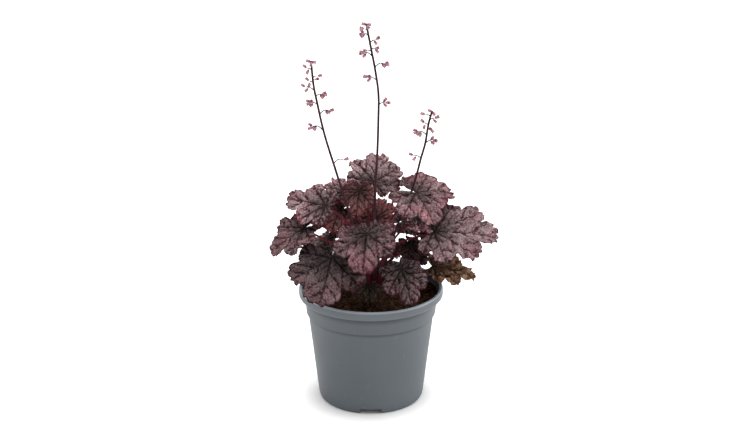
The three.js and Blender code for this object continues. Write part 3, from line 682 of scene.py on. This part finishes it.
        hub_at = len(flat)
        faces = [(r * columns + c, (r + 1) * columns + c, (r + 1) * columns + c + 1, r * columns + c + 1)
                 for r in range(rows - 1) for c in range(columns - 1)]
        faces += [(hub_at, c, c + 1) for c in range(columns - 1)]
        start = form.count
        form.add(held_in(centre + thick * normal), faces, 0, **values)
        form.add(held_in(centre - thick * normal), [tuple(reversed(face)) for face in faces], 1, **values)
        first_side = [r * columns for r in range(rows)]
        last_row = [(rows - 1) * columns + c for c in range(1, columns)]
        last_side = [r * columns + columns - 1 for r in range(rows - 2, -1, -1)]
        rim = [start + i for i in (hub_at, *first_side, *last_row, *last_side, hub_at)]
        below = hub_at + 1
        form.faces += [(a, a + below, b + below, b) for a, b in zip(rim, rim[1:])]
        form.slots += [0] * (len(rim) - 1)

    def stalk(self, form, root, lift=0.4, rise=0.6):
        """Adds the stalk, from its hole in the crown in an arch to the hub's underside."""
        foot, collar = foot_and_collar(root)
        end = self.at - self.up * 2 * STALK.radius
        span = np.linalg.norm(end - collar)
        arrive = 0.7 * unit((end - collar) * [1, 1, 0]) + 0.3 * self.along
        arrive = unit(np.array([arrive[0], arrive[1], rise]))
        handles = [collar, collar + [0, 0, lift * span], end - arrive * 0.35 * span, end]
        arch = [np.array(p) for p in interpolate_bezier(*(Vector(h) for h in handles), 24)]
        centres = [foot, *arch, self.at - 0.2 * self.up]
        radii = np.linspace(STALK.radius, STALK.tip, len(centres)) * 0.95
        form.add(*tube(centres, radii, 10), 2)


def foot_and_collar(root):
    """The lowest point of a stalk or stem, in the crown, and the point up to which it stands upright."""
    heights = (CROWN.top - CROWN.hole_depth + GAP, CROWN.top + STALK.straight)
    return [np.array([*root[:2], z]) for z in heights]


# ---------------- flower stems

def curve_through(marks, steps=240):
    """Points along a centripetal Catmull-Rom curve, and the distance gone at each."""
    marks = [np.array(m, float) for m in marks]
    marks = [2 * marks[0] - marks[1], *marks, 2 * marks[-1] - marks[-2]]
    made = []
    for a, b, c, d in zip(marks, marks[1:], marks[2:], marks[3:]):
        ab, bc, cd = (math.sqrt(np.linalg.norm(y - x)) for x, y in ((a, b), (b, c), (c, d)))
        start = ((b - a) / ab - (c - a) / (ab + bc) + (c - b) / bc) * bc
        end = ((c - b) / bc - (d - b) / (bc + cd) + (d - c) / cd) * bc
        for t in np.linspace(0, 1, steps // (len(marks) - 3), endpoint=False):
            made.append(b * (2 * t**3 - 3 * t**2 + 1) + c * (3 * t**2 - 2 * t**3)
                        + start * (t**3 - 2 * t**2 + t) + end * (t**3 - t**2))
    made = np.array([*made, marks[-2]])
    gone = np.concatenate([[0], np.cumsum(np.linalg.norm(np.diff(made, axis=0), axis=1))])
    return made, gone


def at_distance(curve, gone, distance):
    return np.array([np.interp(distance, gone, curve[:, axis]) for axis in range(3)]).T


def add_bell(form, start, direction, draw):
    """A small hollow bell with lobes at its mouth, and a few stamens in it."""
    matrix = np.array(Vector((0, 0, 1)).rotation_difference(Vector(direction)).to_matrix())
    spin = draw.uniform(0, 6.3)
    size = draw.uniform(*BELL.sizes)

    def shaped(points):
        lobe = np.clip((points[:, 2] - BELL.lobed_from) / 1.1, 0, 1)
        wave = np.cos(BELL.lobes * (np.arctan2(points[:, 1], points[:, 0]) + spin))
        points[:, :2] *= (BELL.width + BELL.lobing * lobe * wave)[:, None]
        points[:, 2] += 0.35 * lobe * wave - 0.25 * lobe
        return points

    points, faces = lathe([*BELL_OUTSIDE, *BELL_INSIDE], 15, shaped)
    along = np.clip(points[:, 2] / BELL.length, 0, 1)
    form.add(held_in(size * points @ matrix.T + start), faces, 1, along=along)
    for i in range(BELL.stamens):
        angle = spin + i / BELL.stamens * 2 * math.pi
        tip = np.array([0.55 * math.cos(angle), 0.55 * math.sin(angle), 4.3])
        rod, rod_faces = tube([tip * [0.4, 0.4, 0.5], tip], [0.07, 0.07], 3)
        knob, knob_faces = lathe([(0, -0.2), (0.2, 0), (0, 0.25)], 4)
        form.add(size * np.array(rod) @ matrix.T + start, rod_faces, 1)
        form.add(size * (knob + tip) @ matrix.T + start, knob_faces, 2)


def add_twig(form, start, heading, reach, bells, fan, stalk, draw, bell_draw):
    """An arched twig with a bract at its foot. Its bells hang by turns from its middle and its end."""
    out = headed(heading + TWIG.jitter * (draw() - 0.5))
    end = start + out * reach + [0, 0, TWIG.rise * reach]
    middle = lerp(start, end, 0.6)
    lift = (0.26 if reach > 8 else 0.14) * reach
    shares = np.linspace(0, 1, 8)
    arch = [lerp(start, end, t) + [0, 0, lift * math.sin(math.pi * t)] for t in shares]
    form.add(*tube(arch, np.linspace(*TWIG_RADII, len(shares)), 6), 0)
    bract, bract_faces = lathe([(0, -0.2), (0.32, 0.5), (0.22, 1.6), (0, 2.4)], 5)
    form.add(bract + start + out * 0.5 - [0, 0, 0.3], bract_faces, 0)
    for i in range(bells):
        across = 0 if bells == 1 else i / (bells - 1) - 0.5
        side = headed(heading + fan * across + TWIG.jitter * (draw() - 0.5))
        rise = 0.7 - 2 * ((i * 0.618 + draw() * 0.3) % 1)
        way = unit(side * [1, 1, 0] + [0, 0, rise])
        hung_from = middle + [0, 0, 0.95 * lift] if i % 2 == 1 and reach > 3 else lerp(end, start, 0.05)
        if stalk:
            form.add(*tube([hung_from, hung_from + (stalk + 0.3) * way], [0.26, 0.22], 5), 0)
        add_bell(form, hung_from + stalk * way, way, bell_draw)


def flower_stem(index, path, twigs, root, materials):
    form = Form()
    foot, collar = foot_and_collar(root)
    curve, gone = curve_through([collar, *path])
    length = gone[-1]
    centres = [foot, *at_distance(curve, gone, np.linspace(0, length, 60))]
    form.add(*tube(centres, np.linspace(*STEM_RADII, len(centres)), 10), 0)
    draw, bell_draw = draws_from(20 + index), np.random.default_rng(40 + index)
    for below, heading, reach, bells, *wider in twigs:
        start = at_distance(curve, gone, length - below)
        fan = wider[0] if wider else TWIG.fan
        stalk = BELL.stalk if below > 2 else 0.0
        add_twig(form, start, heading, reach, bells, fan, stalk, draw, bell_draw)
    name = f"flower_stem_{index + 1}"
    form.piece(name + "_fine", materials, name)


# ---------------- where stalks and stems stand

def root_spots(leaves):
    """Spots in the crown, dealt out and swapped in pairs while that brings them nearer to the wishes.

    A lower leaf wishes to stand further out, on its own side.
    """
    wishes = [np.array([*path[0][:2], 0]) * 0.12 for path, _ in STEMS]
    for leaf in leaves:
        away = max(2, min(15, 15 * (212 - leaf.at[2]) / 70))
        toward = np.array([*ROOTS.get(leaf.seed, leaf.at[:2]), 0])
        wishes.append(unit(toward) * away)
    roots = [headed(k * SPOTS.turn) * SPOTS.spacing * math.sqrt(k + 0.5) for k in range(SPOTS.count)]

    def strain(i, spot):
        return float(((wishes[i] - spot) ** 2).sum()) if i < len(wishes) else 0.0

    swapped = True
    while swapped:
        swapped = False
        for i in range(len(roots)):
            for k in range(i):
                now = strain(i, roots[i]) + strain(k, roots[k])
                if strain(i, roots[k]) + strain(k, roots[i]) < now - 1e-6:
                    roots[i], roots[k] = roots[k], roots[i]
                    swapped = True
    return roots[: len(STEMS)], roots[len(STEMS) : len(wishes)]


def back_leaves():
    """The leaves that the photograph doesn't show, in tiers round the back."""
    draw = draws_from(BACK.seed)
    rows = []
    low, high = BACK.tiers[:2]
    for i in range(BACK.count):
        heading = lerp(BACK.start, BACK.end, i / (BACK.count - 1)) + 8 * (draw() - 0.5)
        tier = BACK.tiers[i % len(BACK.tiers)]
        height = (tier - low) / (high - low)
        out = headed(heading) * (lerp(*BACK.reach, height) + 6 * (draw() - 0.5))
        at = (out[0], out[1], tier + 6 * (draw() - 0.5))
        pitch = lerp(*BACK.pitch, height) + 8 * (draw() - 0.5)
        roll = 16 * (draw() - 0.5)
        size = BACK.size * (0.9 + 0.25 * draw())
        rows.append((at, heading, pitch, roll, size, *BACK.shape, *BACK.look))
    return rows


# ---------------- pot, soil and crown

def wall_at(z):
    return lerp(POT.foot, POT.body_top, z / BAND_FOOT)


# The pot's inner wall from the floor up, as (radius, height) pairs.
INNER_WALL = [
    (wall_at(FLOOR_TOP) - 2 * POT.wall, FLOOR_TOP),
    (wall_at(FLOOR_TOP + 2) - POT.wall, FLOOR_TOP + 2),
    (POT.body_top - POT.wall, BAND_FOOT - POT.wall),
    (POT.band_bottom - POT.wall, BAND_FOOT + POT.wall),
    (POT.band_top - POT.wall, LIP_FOOT - 1),
    (POT.rim - POT.lip_width, LIP_FOOT + 2.4),
    (POT.rim - POT.lip_width, POT.height - 0.7),
]


def pot_cutters():
    """Points and faces of each notch in the foot ring and of the drain hole behind it."""
    wide, high = POT.notch_width / 2, POT.notch_height
    outline = [(-wide, -1), (wide, -1), (wide, high - 1.2), (0.92 * wide, high), (-0.92 * wide, high),
               (-wide, high - 1.2)]
    notch = np.array([(x, y, z) for x in (POT.foot - 8, POT.foot + 6) for y, z in outline], float)
    n = len(outline)
    notch_faces = [tuple(reversed(range(n))), tuple(range(n, 2 * n)), *ring_quads(0, n)]
    radius = POT.drain_radius
    drain, drain_faces = lathe([(0, 1), (radius, 1), (radius, 12), (0, 12)], 24)
    drain += [POT.drain_circle, 0, 0]
    for k in range(POT.notches):
        turn = -math.pi / 2 + k * 2 * math.pi / POT.notches
        c, s = math.cos(turn), math.sin(turn)
        for (x, y, z), faces in ((notch.T, notch_faces), (drain.T, drain_faces)):
            yield np.column_stack([x * c - y * s, x * s + y * c, z]), faces


def build_pot(material):
    foot = POT.foot - POT.corner_in
    profile = [
        (0, 0), (POT.pad, 0), (POT.pad + 1.2, POT.floor), (foot - 1.8, POT.floor),
        (foot - 1.4, 0), (foot, 0), (foot + 0.7 * POT.corner_in, 0.35 * POT.corner_rise),
        *((wall_at(z), z) for z in (POT.corner_rise, POT.floor, 30, 60)),
        (POT.body_top, BAND_FOOT), (POT.band_bottom, BAND_FOOT + 0.5), (POT.band_top, LIP_FOOT),
        (POT.rim - 1, LIP_FOOT + 0.6), (POT.rim, LIP_FOOT + 2), (POT.rim, POT.height - 2),
        (POT.rim - 0.9, POT.height - 0.3), (POT.rim - 0.5 * POT.lip_width, POT.height),
        *reversed(INNER_WALL),
        (POT.pad - 0.6, FLOOR_TOP), (POT.pad - 1.6, POT.wall), (0, POT.wall),
    ]
    form = Form()
    form.add(*lathe(rounded(profile, 0.6), 160))
    pot = form.piece("pot_moulded", [material], "pot")
    cutters = []
    for points, faces in pot_cutters():
        cutters.append(placed("cutter", mesh_of("cutter", points, faces)))
        cut = pot.modifiers.new("cut", "BOOLEAN")
        cut.operation, cut.object, cut.solver = "DIFFERENCE", cutters[-1], "EXACT"
    whole = bpy.data.meshes.new_from_object(pot.evaluated_get(bpy.context.evaluated_depsgraph_get()))
    whole.set_sharp_from_angle(angle=math.radians(POT_CREASE))
    pot.modifiers.clear()
    pot.data = whole
    for cutter in cutters:
        bpy.data.objects.remove(cutter)


def soil_height(points):
    """Height in mm of the soil over SOIL_TOP: the solid's low waves, and finer ones on top of them."""
    draw = draws_from(7)
    turn = np.arctan2(points[:, 1], points[:, 0])
    away = np.hypot(points[:, 0], points[:, 1])
    height = np.full(len(points), 0.8)
    for count in (3, 5, 8):
        height += 1.2 / math.sqrt(count) * np.sin(count * turn + 6.3 * draw() + 2 * away / 20)
    height *= np.clip((62 - away) / 14, 0, 1)
    return height + 0.9 * waves(points[:, :2], 3, 11.0) + 0.45 * waves(points[:, :2], 4, 3.6)


def build_soil(material, chip_material):
    wall = [(radius - 2 * GAP, z) for radius, z in INNER_WALL if z < SOIL_TOP]
    (low_radius, low_z), (high_radius, high_z) = INNER_WALL[len(wall) - 1], INNER_WALL[len(wall)]
    edge = lerp(low_radius, high_radius, (SOIL_TOP - low_z) / (high_z - low_z)) - 2 * GAP
    rings = [(radius, SOIL_TOP) for radius in np.linspace(edge, 1.5, 48)]
    under = [(0, POT.wall + GAP), (POT.pad - 1.6 - 2 * GAP, POT.wall + GAP),
             (POT.pad - 0.6 - 2 * GAP, FLOOR_TOP + GAP), (wall[0][0], FLOOR_TOP + GAP), *wall[1:]]

    def heaped(points):
        top = points[:, 2] > SOIL_TOP - 0.01
        points[top, 2] += soil_height(points[top])
        return points

    form = Form()
    form.add(*lathe([*under, *rings, (0, SOIL_TOP)], 180, heaped))
    draw = np.random.default_rng(11)
    for i in range(CRUMBS.count):
        away, turn = edge * 0.985 * math.sqrt(draw.uniform(0.08, 1)), draw.uniform(0, 6.3)
        flake = i % CRUMBS.flake_each == 0
        size = draw.uniform(*CRUMBS.sizes)
        shape = np.array(CRUMBS.flake if flake else CRUMBS.lump) * size
        lump, faces = lathe([(0, -1), (0.8, -0.5), (1, 0.2), (0.6, 0.8), (0, 1)], 6)
        lump = lump * draw.uniform(0.75, 1.15, size=lump.shape) * shape
        spin = Quaternion((draw.normal() * 0.2, draw.normal() * 0.2, 1), draw.uniform(0, 6.3))
        lump = lump @ np.array(spin.to_matrix()).T
        spot = np.array([[away * math.cos(turn), away * math.sin(turn), SOIL_TOP]])
        spot[:, 2] += soil_height(spot) + 0.25 * size
        reach = np.hypot(*(lump[:, :2] + spot[:, :2]).T).max()
        if reach < edge:
            form.add(lump + spot, faces, 1 if flake or i % CRUMBS.bark_each == 0 else 0)
    form.piece("soil_surface", [material, chip_material], "soil")


def build_crown(material, roots):
    """The woody lump, with a low sheath round the foot of each stalk and stem."""
    radius, top = CROWN.radius, CROWN.top
    profile = [(0, CROWN.bottom), (0.75 * radius, CROWN.bottom), (radius, CROWN.bottom + 6),
               (radius, SOIL_TOP - 2), (0.92 * radius, top - 3), (0.55 * radius, top)]
    inner = [(away, top) for away in np.linspace(0.5 * radius, 1, 8)]

    def lumpy(points):
        turn = np.arctan2(points[:, 1], points[:, 0])
        points[:, :2] *= (1 + 0.04 * np.sin(2 * turn + 1) + 0.03 * np.sin(5 * turn))[:, None]
        free = points[:, 2] > SOIL_TOP - 1
        points[free] += 0.5 * waves(points[free], 5, 5.0)[:, None] * np.array([0.3, 0.3, 1])
        return points

    form = Form()
    form.add(*lathe([*rounded(profile, 3), *inner, (0, top)], 72, lumpy))
    sheath = [(0, -5), (2.0, -5), (2.1, -1.5), (1.75, 0.8), (1.35, 2.6), (0, 2.6)]
    for root in roots:
        points, faces = lathe(rounded(sheath, 0.5), 12)
        form.add(points + [root[0], root[1], top], faces)
    form.piece("crown_lump", [material], "crown")


# ---------------- the plant and its pot

inner_leaves = [(*row[:5], *SMALL, *row[5:]) for row in INNER_LEAVES]
leaves = [Leaf(i + 1, *row) for i, row in enumerate([*OUTER_LEAVES, *inner_leaves, *back_leaves()])]
stem_roots, leaf_roots = root_spots(leaves)

under = underside_material()
petiole = stalk_material("leaf_stalk", (0.04, 0.003, 0.007), (0.13, 0.01, 0.018))
blades = {
    "mauve": blade_material(
        "leaf_mauve", pale=(0.252, 0.182, 0.187), deep=(0.062, 0.018, 0.02), core=(0.05, 0.034, 0.032),
        pink=(0.28, 0.128, 0.144), vein=(0.028, 0.009, 0.012), edge=(0.042, 0.006, 0.01),
        wine=(0.105, 0.02, 0.036), rough=0.46),
    "umber": blade_material(
        "leaf_umber", pale=(0.15, 0.074, 0.07), deep=(0.055, 0.016, 0.015), core=(0.036, 0.016, 0.013),
        pink=(0.2, 0.06, 0.06), vein=(0.02, 0.004, 0.004), edge=(0.07, 0.007, 0.01),
        wine=(0.105, 0.02, 0.036), rough=0.5),
    "bronze": blade_material(
        "leaf_bronze", pale=(0.15, 0.092, 0.058), deep=(0.05, 0.024, 0.013), core=(0.03, 0.016, 0.009),
        pink=(0.17, 0.055, 0.038), vein=(0.018, 0.008, 0.005), edge=(0.05, 0.016, 0.008),
        wine=(0.085, 0.04, 0.022), rough=0.5),
}
for leaf, root in zip(leaves, leaf_roots):
    form = Form()
    leaf.blade(form)
    leaf.stalk(form, root, **BENDS.get(leaf.seed, {}))
    name = f"leaf_{leaf.seed:02d}"
    form.piece(name + "_fine", [blades[leaf.kind], under, petiole], name)

stem_materials = [stalk_material("flower_stalk", (0.018, 0.005, 0.008), (0.046, 0.015, 0.02)),
                  bell_material(), stamen_material()]
for index, (path, twigs) in enumerate(STEMS):
    flower_stem(index, path, twigs, stem_roots[index], stem_materials)

build_pot(pot_material())
build_soil(soil_material("soil", (0.012, 0.006, 0.003), (0.075, 0.038, 0.018), (0.2, 0.085, 0.034)),
           soil_material("bark", (0.03, 0.014, 0.008), (0.075, 0.036, 0.018), (0.14, 0.075, 0.04)))
build_crown(soil_material("crown_bark", (0.03, 0.014, 0.012), (0.08, 0.035, 0.028), (0.14, 0.05, 0.035)),
            [*stem_roots, *leaf_roots])

# ---------------- floor, light and camera

FLOOR_REACH = 6000
PHOTO_WIDTH, FOCAL_LENGTH = 750, 1337  # px
SENSOR_WIDTH = 36  # mm
EYE = (0.0039, -1.205, 0.6)  # metres
LOOKING_DOWN = 19.2  # degrees


def soft_sun(name, source, strength, width):
    """A light as from a large soft box that lies in the direction of `source` and is `width` degrees wide."""
    light = bpy.data.lights.new(name, "SUN")
    light.energy, light.angle = strength, math.radians(width)
    placed(name, light).rotation_euler = (-Vector(source)).to_track_quat("-Z", "Y").to_euler()


def floor_material():
    """A white floor that glows evenly, and less near the pot's foot, where the dimmer glow is painted contact
    shade.
    """
    s = Shader("floor_white")
    away = s.node("VectorMath", "Value", {0: s.place()}, operation="LENGTH")
    # Painted shade: the glow fades out near the pot's foot.
    glow_and_painted_shade = s.mix(s.spread(away, 0.042, 0.078), (0.0, 0.0, 0.0), (1.0, 1.0, 1.0))
    return s.done(Base_Color=(0.93, 0.93, 0.93, 1.0), Roughness=0.9, Emission_Strength=0.35,
                  Emission_Color=glow_and_painted_shade)


corners = FLOOR_REACH * np.array([(-1, -1, 0), (1, -1, 0), (1, 1, 0), (-1, 1, 0)])
floor = placed("floor", mesh_of("floor", corners, [(0, 1, 2, 3)]))
floor.data.materials.append(floor_material())

world = bpy.data.worlds.new("studio")
world.use_nodes = True
sky = world.node_tree.nodes["Background"].inputs
sky["Color"].default_value, sky["Strength"].default_value = (1, 1, 1, 1), 0.6
bpy.context.scene.world = world
soft_sun("overhead", (0.06, 0.05, 1.0), 3.0, 60)
soft_sun("right", (1.0, -0.1, 0.12), 1.2, 40)
bpy.context.scene.view_settings.view_transform = "Standard"

lens = bpy.data.cameras.new("camera")
lens.sensor_width = SENSOR_WIDTH
lens.lens = FOCAL_LENGTH / PHOTO_WIDTH * SENSOR_WIDTH
lens.clip_end = 30
camera = placed("camera", lens)
camera.location = EYE
camera.rotation_euler = (math.radians(90 - LOOKING_DOWN), 0, 0)
bpy.context.scene.camera = camera
